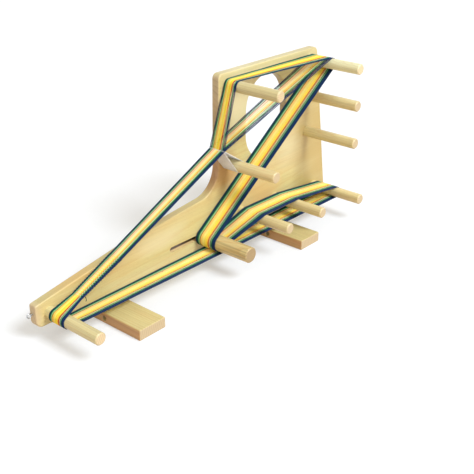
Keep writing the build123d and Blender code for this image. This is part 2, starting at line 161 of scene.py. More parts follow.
# yarn colours, sRGB 0-255
PAINT = {
    "navy": (2, 46, 96),
    "ink": (2, 48, 66),
    "forest": (4, 84, 66),
    "green": (52, 146, 84),
    "mint": (160, 206, 172),
    "sage": (134, 170, 140),
    "leaf": (150, 200, 108),
    "rust": (176, 88, 42),
    "peach": (248, 212, 164),
    "cream": (252, 240, 182),
    "pale": (252, 238, 140),
    "yellow": (252, 233, 70),
    "gold": (252, 216, 100),
    "orange": (240, 134, 40),
    "lemon": (255, 246, 128),
}
# colour and number of ends, from the board side to the peg tips
STRIPES = {
    HEDDLED: [("ink", 1), ("navy", 1), ("forest", 2), ("green", 1), ("mint", 1), ("leaf", 1), ("rust", 1),
              ("gold", 3), ("lemon", 3), ("yellow", 5), ("gold", 1), ("orange", 1), ("rust", 2), ("cream", 1),
              ("ink", 1), ("mint", 1), ("green", 1), ("ink", 1), ("navy", 4)],
    OPEN: [("navy", 1), ("ink", 3), ("green", 1), ("mint", 1), ("sage", 1), ("rust", 1), ("peach", 4),
           ("cream", 4), ("pale", 1), ("gold", 3), ("rust", 1), ("cream", 1), ("mint", 1), ("leaf", 1),
           ("green", 1), ("forest", 1), ("ink", 2), ("navy", 4)],
}
ENDS = {layer: [colour for colour, count in stripes for _ in range(count)]
        for layer, stripes in STRIPES.items()}
ENDS_PER_LAYER = len(ENDS[HEDDLED])


def linear(rgb):
    """Linear colour from an sRGB triple of 0-255."""
    out = []
    for value in rgb:
        c = value / 255
        out.append(c / 12.92 if c <= 0.04045 else ((c + 0.055) / 1.055) ** 2.4)
    return out


# ---------------------------------------------------------------- the belt
def lift_of(place, layer):
    """How far a layer lies off the belt's middle: the more the yarns are crowded there, the further."""
    near, far = EDGES[place]
    pitch = (far - near) / (2 * ENDS_PER_LAYER)
    side = -LAYER_SIDE[layer] if place == TURNED_OVER else LAYER_SIDE[layer]
    return side * LAYER_PARTING * math.sqrt(max(0.0, (2 * YARN_RADIUS) ** 2 - pitch ** 2))


def path_radius(place, layer):
    """Distance of a layer's yarns from the axis that they bend round."""
    if place == "heddle_point":
        return HEDDLE_BEND if layer == HEDDLED else 0.0
    return RADIUS[place] + MID_LIE - TURN[place] * lift_of(place, layer)


def turn_of(place, layer):
    return 1 if place == "heddle_point" and layer == HEDDLED else TURN[place]


def centre_of(place, layer):
    """Centre of the bend; at the heddle point each layer's own height is added."""
    x, z = CENTRE[place]
    if place != "heddle_point":
        return x, z
    lift = HEDDLE_PARTING * lift_of(place, layer)
    if layer == HEDDLED:
        return x - HEDDLE_SHIFT, z + HEDDLE_SHIFT + lift
    return x, z + lift


def run(first, second, layer):
    """Start, end and direction angle of a layer's straight run from one place to the next, in (x, z)."""
    (x1, z1), (x2, z2) = centre_of(first, layer), centre_of(second, layer)
    side1 = path_radius(first, layer) * turn_of(first, layer)
    side2 = path_radius(second, layer) * turn_of(second, layer)
    angle = math.atan2(z2 - z1, x2 - x1) - math.asin((side2 - side1) / math.hypot(x2 - x1, z2 - z1))
    across = (math.sin(angle), -math.cos(angle))
    start = np.array((x1 + side1 * across[0], z1 + side1 * across[1]))
    end = np.array((x2 + side2 * across[0], z2 + side2 * across[1]))
    return start, end, angle


def share_of(layer, index):
    """Place of a yarn across the band, 0 at the board side and 1 at the tip side; the layers interleave."""
    place = 2 * index + (0.5 if layer == HEDDLED else 1.5)
    return place / (2 * ENDS_PER_LAYER)


def across_band(edges, share):
    near, far = edges
    return FRONT_FACE - (near + YARN_RADIUS + share * (far - near - 2 * YARN_RADIUS))


def weaving_edges(along, length):
    """The band's two edges along the weaving stretch: it is drawn in where it is woven."""
    stations = [0, WOVEN_FROM, WOVEN_TO, length]
    rows = [EDGES["front_peg"], WOVEN_EDGES_FROM, WOVEN_EDGES_TO, EDGES["heddle_point"]]
    return [np.interp(along, stations, [row[side] for row in rows]) for side in (0, 1)]


def settled_lift(first, second, layer, s, length):
    """A layer's lift along a run; where the layers change sides, they do so within a short stretch."""
    swap = {first: (WOVEN_FROM + WOVEN_TO) / 2, second: length - SWAP_ON_RETURN}.get(TURNED_OVER)
    stations = (0, length) if swap is None else (swap - SWAP_REACH, swap + SWAP_REACH)
    return np.interp(s, stations, (lift_of(first, layer), lift_of(second, layer)))


def straight_points(first, second, layer, share, drift):
    """Points of one yarn's straight run, without its two ends."""
    start, end, angle = run(first, second, layer)
    length = np.linalg.norm(end - start)
    normal = np.array((-math.sin(angle), math.cos(angle)))
    weaving = (first, second) == WEAVING_RUN
    stations = list(np.linspace(0, length, max(3, round(length / STRAIGHT_STEP)) + 1))[1:-1]
    if weaving:
        woven = list(np.arange(WOVEN_FROM, WOVEN_TO, PICK_PITCH / WOVEN_STEPS))
        stations = [s for s in stations if not WOVEN_FROM - WOVEN_MARGIN < s < WOVEN_TO + WOVEN_MARGIN]
        stations = sorted(stations + woven)
    points = []
    for s in stations:
        x, z = start + (end - start) * s / length
        if weaving:
            edges = weaving_edges(s, length)
        else:
            edges = [a + (b - a) * s / length for a, b in zip(EDGES[first], EDGES[second])]
        y = across_band(edges, share)
        own = np.interp(s, (0, length), (lift_of(first, layer), lift_of(second, layer)))
        lift = settled_lift(first, second, layer, s, length)
        if weaving and WOVEN_FROM <= s <= WOVEN_TO:
            fade = min(1, (s - WOVEN_FROM) / PICK_PITCH, (WOVEN_TO - s) / PICK_PITCH)
            wave = PICK_LIFT * math.cos(math.pi * (s - WOVEN_FROM) / PICK_PITCH)
            lift += fade * (LAYER_SIDE[layer] * (wave + OPEN_FLOAT) - lift)
        else:
            stray = LOOSE_WANDER if (first, second) in SINGLE_RUNS else WANDER
            y += stray * drift(s) * min(1, s / STRAY_FADE, (length - s) / STRAY_FADE)
        x, z = x + normal[0] * (lift - own), z + normal[1] * (lift - own)
        points.append((x, y, z))
    return points


def arc(centre, radius, start, sweep, steps):
    """Points (x, z) of an arc, ends included."""
    angles = [start + sweep * i / steps for i in range(steps + 1)]
    return [(centre[0] + radius * math.cos(angle), centre[1] + radius * math.sin(angle)) for angle in angles]


def bend_points(place, before, after, layer, share):
    """Points of one yarn's bend round a peg, ends included."""
    centre, radius = centre_of(place, layer), path_radius(place, layer)
    y = across_band(EDGES[place], share)
    if radius == 0:
        return [(centre[0], y, centre[1])]
    turn = turn_of(place, layer)
    arrive = run(before, place, layer)[2] - math.pi / 2 * turn
    leave = run(place, after, layer)[2] - math.pi / 2 * turn
    sweep = (leave - arrive) % (2 * math.pi * turn)
    steps = max(2, math.ceil(abs(sweep) / ARC_STEP))
    return [(x, y, z) for x, z in arc(centre, radius, arrive, sweep, steps)]


def drifts(rng):
    """A slow sideways stray of one yarn, as a function of the distance along a run."""
    waves = [(rng.uniform(*DRIFT_HEIGHTS), rng.uniform(*DRIFT_LENGTHS) * MM, rng.uniform(0, 2 * math.pi))
             for _ in range(DRIFT_WAVES)]
    return lambda s: sum(a * math.sin(2 * math.pi * s / w + p) for a, w, p in waves)


def yarn_loop(layer, index, rng):
    """One closed yarn: its points, and the range of points of each section by name."""
    route = ROUTES[layer]
    share = share_of(layer, index)
    points, sections = [], {}
    for i, place in enumerate(route):
        before, after = route[i - 1], route[(i + 1) % len(route)]
        first = len(points)
        points += bend_points(place, before, after, layer, share)
        last = len(points) - 1
        sections[place] = (first, last)
        points += straight_points(place, after, layer, share, drifts(rng))
        sections[(place, after)] = (last, len(points))
    return np.array(points), sections


# ---------------------------------------------------------------- tubes
def ring_frames(points, closed, side_hint):
    """Unit side and normal vectors at each point of a path, square to it, the sides along side_hint."""
    if closed:
        tangent = np.roll(points, -1, 0) - np.roll(points, 1, 0)
    else:
        tangent = np.gradient(points, axis=0)
    tangent /= np.linalg.norm(tangent, axis=1)[:, None]
    side = np.broadcast_to(np.array(side_hint, float), tangent.shape)
    side = side - (side * tangent).sum(1)[:, None] * tangent
    side /= np.linalg.norm(side, axis=1)[:, None]
    return side, np.cross(tangent, side)


class TubeMesh:
    """Gathers tubes into one mesh. Each has its own colour, and UVs of (round the tube, metres along it)."""

    def __init__(self, sides):
        self.sides = sides
        self.vertices, self.faces, self.uvs, self.colours = [], [], [], []
        self.count = 0

    def add(self, points, side, normal, radius, colour, along=None):
        rings = len(points)
        turn = np.arange(self.sides) * 2 * math.pi / self.sides
        cosine, sine = np.cos(turn)[None, :, None], np.sin(turn)[None, :, None]
        radii = np.broadcast_to(np.asarray(radius, float), (rings,))
        around = cosine * side[:, None, :] + sine * normal[:, None, :]
        rows = points[:, None, :] + around * radii[:, None, None]
        self.vertices.append(rows.reshape(-1, 3))
        self.colours.append(np.tile([*colour, 1.0], (rings * self.sides, 1)))
        if along is None:
            along = np.concatenate([[0], np.cumsum(np.linalg.norm(np.diff(points, axis=0), axis=1))])
        for r in range(rings - 1):
            for k in range(self.sides):
                j = (k + 1) % self.sides
                a, b = self.count + r * self.sides, self.count + (r + 1) * self.sides
                self.faces.append((a + k, a + j, b + j, b + k))
                u, v = k / self.sides, (k + 1) / self.sides
                self.uvs += [(u, along[r]), (v, along[r]), (v, along[r + 1]), (u, along[r + 1])]
        self.count += rings * self.sides
        for ring, order in ((0, -1), (-1, 1)):      # the two end caps
            self.vertices.append(rows[ring])
            self.colours.append(np.tile([*colour, 1.0], (self.sides, 1)))
            self.faces.append(tuple(range(self.count, self.count + self.sides))[::order])
            self.uvs += [(0.5, along[ring])] * self.sides
            self.count += self.sides

    def finish(self, name, material, slot):
        mesh = bpy.data.meshes.new(name)
        mesh.from_pydata(np.concatenate(self.vertices).tolist(), [], self.faces)
        mesh.polygons.foreach_set("use_smooth", [True] * len(mesh.polygons))
        mesh.uv_layers.new(name="yarn").data.foreach_set("uv", np.array(self.uvs).ravel())
        paint = mesh.attributes.new("paint", "FLOAT_COLOR", "POINT")
        paint.data.foreach_set("color", np.concatenate(self.colours).ravel())
        mesh.materials.append(material)
        mesh.update()
        made = bpy.data.objects.new(name, mesh)
        bpy.context.scene.collection.objects.link(made)
        return made


# ---------------------------------------------------------------- shader nodes
def make(tree, kind, inputs=None, **settings):
    """One shader node; each input is a plain value or an output socket to link from."""
    node = tree.nodes.new("ShaderNode" + kind)
    for key, value in settings.items():
        setattr(node, key, value)
    for key, value in (inputs or {}).items():
        if isinstance(value, bpy.types.NodeSocket):
            tree.links.new(value, node.inputs[key])
        else:
            node.inputs[key].default_value = value
    return node


def maths(tree, operation, a, b=0.0, clamp=False):
    return make(tree, "Math", {0: a, 1: b}, operation=operation, use_clamp=clamp).outputs[0]


def scaled(tree, value, factor, offset):
    return maths(tree, "ADD", maths(tree, "MULTIPLY", value, factor), offset)


def swing(tree, value, amount):
    """A noise of 0 to 1 as one round zero, amount from end to end."""
    return maths(tree, "MULTIPLY", maths(tree, "SUBTRACT", value, 0.5), amount)


def hypot(tree, a, b):
    return maths(tree, "SQRT", scaled(tree, a, a, maths(tree, "MULTIPLY", b, b)))


def ramp(tree, factor, stops):
    """A ramp of greys through (position, value) stops."""
    node = make(tree, "ValToRGB", {"Fac": factor})
    elements = node.color_ramp.elements
    while len(elements) < len(stops):
        elements.new(0.5)
    for element, (position, value) in zip(elements, stops):
        element.position = position
        element.color = (value, value, value, 1)
    return node.outputs["Color"]


def mix(tree, factor, a, b, blend="MIX"):
    return make(tree, "Mix", {0: factor, 6: a, 7: b}, data_type="RGBA", blend_type=blend).outputs[2]


def noise(tree, vector, scale, detail=2.0, roughness=0.5):
    inputs = {"Vector": vector, "Scale": scale, "Detail": detail, "Roughness": roughness}
    return make(tree, "TexNoise", inputs).outputs["Fac"]


def stretched_noise(tree, vector, scales, detail=2.0, roughness=0.5):
    """Noise with its own number of waves a metre along each axis."""
    stretched = make(tree, "Mapping", {"Vector": vector, "Scale": scales}).outputs[0]
    return noise(tree, stretched, 1.0, detail, roughness)


def box_mask(tree, outputs, low, high):
    """1 inside a box of object space and 0 outside it."""
    inside = None
    for output, a, b in zip(outputs, low, high):
        off = maths(tree, "ABSOLUTE", maths(tree, "SUBTRACT", output, (a + b) / 2))
        within = maths(tree, "LESS_THAN", off, (b - a) / 2)
        inside = within if inside is None else maths(tree, "MULTIPLY", inside, within)
    return inside


def new_material(name, roughness, **sockets):
    material = bpy.data.materials.new(name)
    material.use_nodes = True
    tree = material.node_tree
    shader = tree.nodes["Principled BSDF"]
    for key, value in {"Roughness": roughness, **sockets}.items():
        shader.inputs[key].default_value = value
    return material, tree, shader


def add_bump(tree, shader, height, strength, distance):
    bump = make(tree, "Bump", {"Strength": strength, "Distance": distance, "Height": height})
    tree.links.new(bump.outputs[0], shader.inputs["Normal"])


# ---------------------------------------------------------------- wood
WOOD = {        # pale hardwood, sRGB 0-255
    "light": (215, 207, 151),       # early wood
    "late": (202, 172, 108),
    "warm": (214, 172, 112),
    "end": (206, 182, 136),         # end grain
    "dowel_end": (206, 191, 156),
    "painted_slot_shade": (92, 62, 14),           # painted shade deep in the slot's walls
    "painted_slot_light": (228, 203, 148),        # painted light on the front of the slot's walls
    # heartwood, with the painted shadow of the heddle peg and its strings
    "heart_and_peg_shadow": (186, 124, 74),
    "sap": (226, 222, 186),
    "fleck": (167, 130, 80),
    # painted shade where the light falls off towards the panel's rear edge
    "painted_falloff_shade": (195, 174, 110),
}
GRAIN_NOISE = {     # waves a metre along the grain and across it, detail, roughness
    "sway": (2.4, 9.0, 2.0, 0.5),           # moves the growth rings
    "blotch": (9.0, 30.0, 3.0, 0.5),
    "warmth": (5.0, 22.0, 2.0, 0.5),
    "streak": (6.0, 340.0, 2.0, 0.6),
    "fibre": (14.0, 700.0, 3.0, 0.6),
    "pore": (260.0, 2200.0, 1.0, 0.5),
    "end_dot": (60.0, 1500.0, 2.0, 0.5),
}
RING_LEAN = 0.10             # how far the rings climb along the grain, as a slope
RING_WANDER = 0.055          # and how far they wander, in metres
RING_RAMP = [(0.0, 0.0), (0.62, 0.25), (0.90, 1.0), (1.0, 0.0)]     # how late the wood is, across one ring
FLECK_RAMP = [(0.0, 1.0), (0.30, 1.0), (0.36, 0.0), (1.0, 0.0)]     # only the lowest of the noise is a fleck
FLECK_STRENGTH = 0.30
END_RAMP = [(0.0, 0.0), (0.55, 0.0), (0.92, 1.0), (1.0, 1.0)]       # by how far a face looks along the grain
END_SHADES = (1.12, 0.60)    # how light and how dark the end grain gets
END_RINGS, END_DOTS = 0.45, 0.4                 # what its rings and its pores add to the dark
PATCH_FRAYING = 1.4          # how uneven a patch's edge is, in patch sizes
MILLED_COVER = 0.92
WOOD_COAT = {"Coat Weight": 0.25, "Coat Roughness": 0.28}
WOOD_ROUGHNESS = 0.38
FIBRE_ROUGHNESS, END_ROUGHNESS = 0.16, 0.18     # what fibres and end grain add to that, at most
FIBRE_RELIEF, FLECK_RELIEF = 0.6, -0.5
WOOD_BUMP = (0.25, 0.12 * MM)                   # strength and depth, here and below


def tinted(colour, tint=(1, 1, 1)):
    return (*[c * t for c, t in zip(linear(WOOD[colour]), tint)], 1)


def growth_rings(tree, along, across, up, sway, pith, ring_width):
    """How late the wood is, by its distance from the pith, which leans and wanders along the grain."""
    lean = maths(tree, "MULTIPLY", along, RING_LEAN)
    rise = maths(tree, "SUBTRACT", maths(tree, "SUBTRACT", up, pith[1]), lean)
    rise = maths(tree, "ADD", rise, swing(tree, sway, RING_WANDER))
    radius = hypot(tree, maths(tree, "SUBTRACT", across, pith[0]), rise)
    return ramp(tree, maths(tree, "FRACT", maths(tree, "DIVIDE", radius, ring_width)), RING_RAMP)


def wood(name, grain, pith, ring_width, ring_contrast=0.32, tint=(1, 1, 1), fibres=0.45, streaks=0.10,
         blotches=0.55, warmth=0.5, painted_side_shade=(1, 1, 1), painted_top_shade=(1, 1, 1), end_colour="dowel_end",
         end_tint=1.0, milled=(), patches=()):
    """Pale hardwood, with its grain along X where grain is 0 and along Y where it is 1.

    pith is the place of the tree's middle, across the grain and up. The side tint paints shade on the faces
    that look level across the grain, and the top tint paints shade on those that look up or down. Each milled
    box (low corner, high corner, colour) paints walls in its own colour: painted light and painted shade in
    the board's slot. Each patch (middle, half size, colour, strength) is a soft region, by X and Z; several
    of the board's are painted shade, and one is painted light.
    """
    material, tree, shader = new_material(name, WOOD_ROUGHNESS, **WOOD_COAT)
    place = make(tree, "SeparateXYZ", {0: make(tree, "TexCoord").outputs["Object"]}).outputs
    along, across, up = place[grain], place[1 - grain], place[2]
    grain_space = make(tree, "CombineXYZ", {0: along, 1: across, 2: up}).outputs[0]
    field = {kind: stretched_noise(tree, grain_space, (length, width, width), detail, roughness)
             for kind, (length, width, detail, roughness) in GRAIN_NOISE.items()}
    late = growth_rings(tree, along, across, up, field["sway"], pith, ring_width)
    shade = scaled(tree, late, ring_contrast, swing(tree, field["blotch"], blotches))
    shade = maths(tree, "ADD", shade, swing(tree, field["fibre"], fibres), clamp=True)
    body = mix(tree, shade, tinted("light", tint), tinted("late", tint))
    warm = ramp(tree, field["warmth"], [(0.0, 0.0), (0.50, 0.0), (0.76, warmth), (1.0, warmth)])
    body = mix(tree, warm, body, tinted("warm", tint))
    dark = 1.0 - streaks
    streak = ramp(tree, field["streak"], [(0.0, 1.0), (0.45, 1.0), (0.62, dark), (1.0, dark)])
    body = mix(tree, 1.0, body, streak, "MULTIPLY")
    fleck = ramp(tree, field["pore"], FLECK_RAMP)
    body = mix(tree, maths(tree, "MULTIPLY", fleck, FLECK_STRENGTH), body, tinted("fleck", tint))
    normal = make(tree, "SeparateXYZ", {0: make(tree, "TexCoord").outputs["Normal"]}).outputs
    # painted shade: the side tint and the top tint darken faces by the way they look
    for axis, face_shade in ((1 - grain, painted_side_shade), (2, painted_top_shade)):
        facing = maths(tree, "ABSOLUTE", normal[axis])
        body = mix(tree, facing, body, mix(tree, 1.0, body, (*face_shade, 1), "MULTIPLY"))
    # end grain drinks the finish: darker, with the rings showing more
    end = ramp(tree, maths(tree, "ABSOLUTE", normal[grain]), END_RAMP)
    dots = maths(tree, "MULTIPLY", field["end_dot"], END_DOTS)
    end_shade = maths(tree, "ADD", maths(tree, "MULTIPLY", late, END_RINGS), dots, clamp=True)
    end_light, end_dark = [tinted(end_colour, [end_tint * share] * 3) for share in END_SHADES]
    body = mix(tree, end, body, mix(tree, end_shade, end_light, end_dark))
    for (x, z), (half_x, half_z), colour, strength in patches:
        dx = maths(tree, "DIVIDE", maths(tree, "SUBTRACT", along, x * MM), half_x * MM)
        dz = maths(tree, "DIVIDE", maths(tree, "SUBTRACT", up, z * MM), half_z * MM)
        off = maths(tree, "ADD", hypot(tree, dx, dz), swing(tree, field["blotch"], PATCH_FRAYING))
        amount = ramp(tree, off, [(0.0, strength), (0.35, 0.85 * strength), (1.0, 0.0)])
        body = mix(tree, amount, body, tinted(colour, tint))
    # painted light and painted shade on the slot's walls
    for low, high, colour in milled:
        inside = box_mask(tree, place, low, high)
        body = mix(tree, maths(tree, "MULTIPLY", inside, MILLED_COVER), body, tinted(colour))
    tree.links.new(body, shader.inputs["Base Color"])
    rough = scaled(tree, field["fibre"], FIBRE_ROUGHNESS, maths(tree, "MULTIPLY", end, END_ROUGHNESS))
    tree.links.new(maths(tree, "ADD", rough, WOOD_ROUGHNESS), shader.inputs["Roughness"])
    relief = scaled(tree, field["fibre"], FIBRE_RELIEF, maths(tree, "MULTIPLY", fleck, FLECK_RELIEF))
    add_bump(tree, shader, relief, *WOOD_BUMP)
    return material


# ---------------------------------------------------------------- yarn, metal and plastic
FUZZ_SCALE, CLOUD_SCALE = 2600.0, 60.0          # waves a metre of the fuzz and of the slow change of tone
FUZZ_TONE, CLOUD_TONE = (0.20, 0.92), (0.14, 0.95)      # how much each lightens the yarn, and from what
FUZZ_RELIEF = 0.35
YARN_BUMP = (0.5, 0.12 * MM)
YARN_ROUGHNESS = 0.78
YARN_SHEEN = {"Sheen Roughness": 0.32, "Sheen Tint": (1.0, 0.96, 0.9, 1), "Specular IOR Level": 0.25}
GRIME_SCALE = 420.0
TURNING_SCALES = (3000.0, 500.0, 3000.0)        # of the fine marks round a turned or rolled piece
GRIME_COVER, GRIME_SHADE = 0.7, 0.62            # how much of it shows, and how dark metal is there
POLISH_SPREAD = 0.12         # how uneven the polish of metal is
METAL_BUMP = (0.15, 0.05 * MM)
KNOB_COLOURS = ((26, 26, 28), (44, 44, 47))     # moulded and rubbed, sRGB 0-255
KNOB_ROUGHNESS, RUB_ROUGHNESS = 0.36, 0.18      # as moulded, and what rubbing adds
KNOB_GRAIN_SCALE, RUB_SCALE = 2400.0, 90.0
KNOB_BUMP = (0.3, 0.06 * MM)


def yarn_material(name, twist_pitch, plies, groove_shade_depth, sheen, **sockets):
    """Plied cotton: the tube's own colour, darkened as painted shade in the plies' grooves that wind round
    it, and a soft fuzz.
    """
    sockets = {"Sheen Weight": sheen, **YARN_SHEEN, **sockets}
    material, tree, shader = new_material(name, YARN_ROUGHNESS, **sockets)
    paint = make(tree, "Attribute", attribute_name="paint").outputs["Color"]
    uv = make(tree, "SeparateXYZ", {0: make(tree, "UVMap", uv_map="yarn").outputs[0]}).outputs
    turns = scaled(tree, uv[0], float(plies), maths(tree, "DIVIDE", uv[1], twist_pitch / plies))
    ply = maths(tree, "ABSOLUTE", maths(tree, "SINE", maths(tree, "MULTIPLY", turns, math.pi)))
    place = make(tree, "TexCoord").outputs["Object"]
    fuzz, cloud = noise(tree, place, FUZZ_SCALE), noise(tree, place, CLOUD_SCALE)
    # painted shade in the plies' grooves
    painted_groove_shade = ramp(tree, ply, [(0.0, 1.0 - groove_shade_depth), (0.45, 0.92), (1.0, 1.0)])
    tone = maths(tree, "MULTIPLY", scaled(tree, cloud, *CLOUD_TONE), scaled(tree, fuzz, *FUZZ_TONE))
    grey = make(tree, "CombineXYZ", {0: tone, 1: tone, 2: tone}).outputs[0]
    body = mix(tree, 1.0, mix(tree, 1.0, paint, painted_groove_shade, "MULTIPLY"), grey, "MULTIPLY")
    tree.links.new(body, shader.inputs["Base Color"])
    relief = maths(tree, "ADD", ply, maths(tree, "MULTIPLY", fuzz, FUZZ_RELIEF))
    add_bump(tree, shader, relief, *YARN_BUMP)
    return material


def metal(name, colour, roughness):
    """Plated or turned metal with fine uneven polish."""
    material, tree, shader = new_material(name, roughness, Metallic=1.0)
    place = make(tree, "TexCoord").outputs["Object"]
    grime = noise(tree, place, GRIME_SCALE, 3.0, 0.6)
    bright, dark = [(*[c * shade for c in linear(colour)], 1) for shade in (1, GRIME_SHADE)]
    body = mix(tree, maths(tree, "MULTIPLY", grime, GRIME_COVER), bright, dark)
    tree.links.new(body, shader.inputs["Base Color"])
    rough = scaled(tree, grime, POLISH_SPREAD, roughness - POLISH_SPREAD / 2)
    tree.links.new(rough, shader.inputs["Roughness"])
    add_bump(tree, shader, stretched_noise(tree, place, TURNING_SCALES), *METAL_BUMP)
    return material


def moulded_plastic(name):
    """Black knob plastic with a fine spark-eroded texture and faint rubbed highlights."""
    material, tree, shader = new_material(name, KNOB_ROUGHNESS)
    place = make(tree, "TexCoord").outputs["Object"]
    grain, rub = noise(tree, place, KNOB_GRAIN_SCALE), noise(tree, place, RUB_SCALE, 3.0)
    moulded, rubbed = [(*linear(rgb), 1) for rgb in KNOB_COLOURS]
    tree.links.new(mix(tree, rub, moulded, rubbed), shader.inputs["Base Color"])
    tree.links.new(scaled(tree, rub, RUB_ROUGHNESS, KNOB_ROUGHNESS), shader.inputs["Roughness"])
    add_bump(tree, shader, grain, *KNOB_BUMP)
    return material


# ---------------------------------------------------------------- finishes on the CAD nodes
SLOT_AHEAD, SLOT_BEHIND, SLOT_HALF = 76 * MM, 27 * MM, 5 * MM       # the tension slot round its peg's axis
SLOT_X, SLOT_Z = CENTRE["tension_peg"]
SLOT_WALLS = [                          # boxes over the slot's walls: low corner, high corner, colour; painted light in front, painted shade deeper in
    ((SLOT_X - SLOT_AHEAD, near, SLOT_Z - SLOT_HALF), (SLOT_X + SLOT_BEHIND, far, SLOT_Z + SLOT_HALF), colour)
    for near, far, colour in ((-7.2 * MM, -1.0 * MM, "painted_slot_light"), (-1.0 * MM, 6.6 * MM, "painted_slot_shade"))
]
BOARD_PATCHES = (                       # middle and half size in X and Z, in millimetres, colour, strength
    # heartwood, with the painted shadow of the heddle peg and its strings
    ((46, 144), (46, 46), "heart_and_peg_shadow", 0.6),
    ((180, 350), (330, 120), "sap", 0.40),
    ((80, 268), (58, 80), "sap", 0.75),
    # painted shade on the panel's front edge
    ((10, 238), (32, 150), "fleck", 0.85),
    ((236, 148), (55, 50), "sap", 0.45),
    ((-98, 72), (70, 24), "sap", 0.50),
    # painted shade where the light falls off towards the panel's rear edge
    ((330, 120), (110, 230), "painted_falloff_shade", 1.0),
    ((150, 75), (80, 36), "warm", 0.6),
    ((-280, 76), (80, 16), "late", 0.8),
    # painted shade in the hollow of the bend
    ((12, 135), (22, 34), "fleck", 0.7),
    # painted light on the nose's end
    ((-356, 45), (12, 50), "dowel_end", 0.8),
)
WOODS = {
    "board_wood": dict(
        grain=0, pith=(0.05, 0.10), ring_width=9 * MM, ring_contrast=0.26, fibres=0.28, streaks=0.06,
        # the top tint is painted shade on the board's faces that look up or down
        blotches=0.75, warmth=0.45, painted_top_shade=(0.80, 0.78, 0.75), end_tint=0.84, milled=SLOT_WALLS,
        patches=BOARD_PATCHES),
    "foot_wood": dict(
        # the side tint is painted shade: the feet's sides darker and browner
        grain=1, pith=(-0.06, -0.03), ring_width=4.2 * MM, ring_contrast=0.60, painted_side_shade=(0.80, 0.55, 0.45),
        end_tint=0.93),
    "peg_wood": dict(
        grain=1, pith=(0.02, 0.15), ring_width=3 * MM, tint=(1.00, 1.04, 1.16), streaks=0.14, warmth=0.15,
        end_tint=1.15),
    # painted light: pegs tinted paler where more light falls on them
    "pale_peg_wood": dict(
        grain=1, pith=(0.32, 0.1), ring_width=3 * MM, tint=(1.14, 1.13, 1.27), streaks=0.12, warmth=0.1),
    # painted light: the peg tinted much paler and less yellow, as if washed out by light
    "white_peg_wood": dict(
        grain=1, pith=(0.32, 0.1), ring_width=3 * MM, tint=(1.28, 1.45, 1.98), streaks=0.12, warmth=0.1,
        end_tint=1.35),
    "tension_peg_wood": dict(
        grain=1, pith=(-0.004, 0.052), ring_width=2.2 * MM, ring_contrast=0.6, tint=(0.97, 0.90, 0.88),
        streaks=0.30, warmth=0.3, end_colour="end", end_tint=0.66),
}
METALS = {              # colour, sRGB 0-255, and roughness
    "zinc_steel": ((196, 198, 200), 0.34),
    "insert_brass": ((214, 178, 104), 0.30),
}
OWN_WOOD = {            # pegs that aren't of the plain peg wood: the tension peg's darker wood, and pegs tinted paler as painted light
    "tension_peg": "tension_peg_wood",
    "top_rear_peg": "white_peg_wood",
    **{name: "pale_peg_wood" for name in ("heddle_peg", "upper_rear_peg", "middle_rear_peg", *LOWER_PEGS)},
}


def dress_nodes():
    """Gives the wood, metal and plastic nodes the finish of their slot, or their own."""
    finish = {name: wood(name, **looks) for name, looks in WOODS.items()}
    finish.update({name: metal(name, *looks) for name, looks in METALS.items()})
    finish["knob_plastic"] = moulded_plastic("knob_plastic")
    for part in frame["record"]["subparts"]:
        if part["material_slot"] in finish:
            materials = NODES[part["node"]].data.materials
            materials.clear()
            materials.append(finish[OWN_WOOD.get(part["node"], part["material_slot"])])


# ---------------------------------------------------------------- warp
BREAKS = [0, 0.03, 0.1, 0.25, 0.5, 0.75, 0.9, 0.97, 1]      # shares of a run that slides at one end
WARP_PIECES = {     # piece: (sections, CAD nodes that it replaces)
    "yarns_front_wrap": (["front_peg"], ["warp_front_wrap"]),
    "yarns_weaving_stretch": ([WEAVING_RUN], ["warp_weaving_stretch"]),
    "yarns_heddled_rise": (["heddle_point", ("heddle_point", "top_front_peg")], ["warp_heddled_rise"]),
    "yarns_top_front_wrap": (["top_front_peg"], ["warp_top_front_wrap"]),
    "yarns_top_stretch": ([("top_front_peg", "top_rear_peg")], ["warp_top_stretch"]),
    "yarns_open_layer": ([("heddle_point", "top_rear_peg")], ["warp_open_layer"]),
    "yarns_top_rear_wrap": (["top_rear_peg"], ["warp_top_rear_wrap"]),
    "yarns_lower_return": (["lower_front_peg", ("lower_front_peg", "lower_middle_peg"), "lower_middle_peg",
                            ("lower_middle_peg", "lower_rear_peg"), "lower_rear_peg"], ["warp_lower_return"]),
    "yarns_bottom_return": ([BOTTOM_RUN], ["warp_bottom_return"]),
}
Yarn = namedtuple("Yarn", "points side normal along colour radius sections")


def spin_yarns():
    """All ends of the warp, the heddled layer first."""
    rng = random.Random(SEED)
    yarns = []
    for layer in (HEDDLED, OPEN):
        for index in range(ENDS_PER_LAYER):
            points, sections = yarn_loop(layer, index, rng)
            side, normal = ring_frames(points, True, (0, 1, 0))
            steps = np.linalg.norm(np.roll(points, -1, 0) - points, axis=1)
            along = np.concatenate([[0], np.cumsum(steps)])
            bright = rng.uniform(*BRIGHTNESS)
            colour = [min(1, c * bright) for c in linear(PAINT[ENDS[layer][index]])]
            radius = YARN_RADIUS * rng.uniform(*THICKNESS)
            yarns.append(Yarn(points, side, normal, along, colour, radius, sections))
    return yarns


def gather(yarns, keys):
    """The given sections, which follow each other, of all the yarns that have them."""
    tubes = TubeMesh(YARN_SIDES)
    for yarn in yarns:
        found = [yarn.sections[key] for key in keys if key in yarn.sections]
        if found:
            first, last = found[0][0], found[-1][1]
            pick = np.arange(first, last + 1) % len(yarn.points)
            tubes.add(yarn.points[pick], yarn.side[pick], yarn.normal[pick], yarn.radius, yarn.colour,
                      yarn.along[first:last + 1])
    return tubes


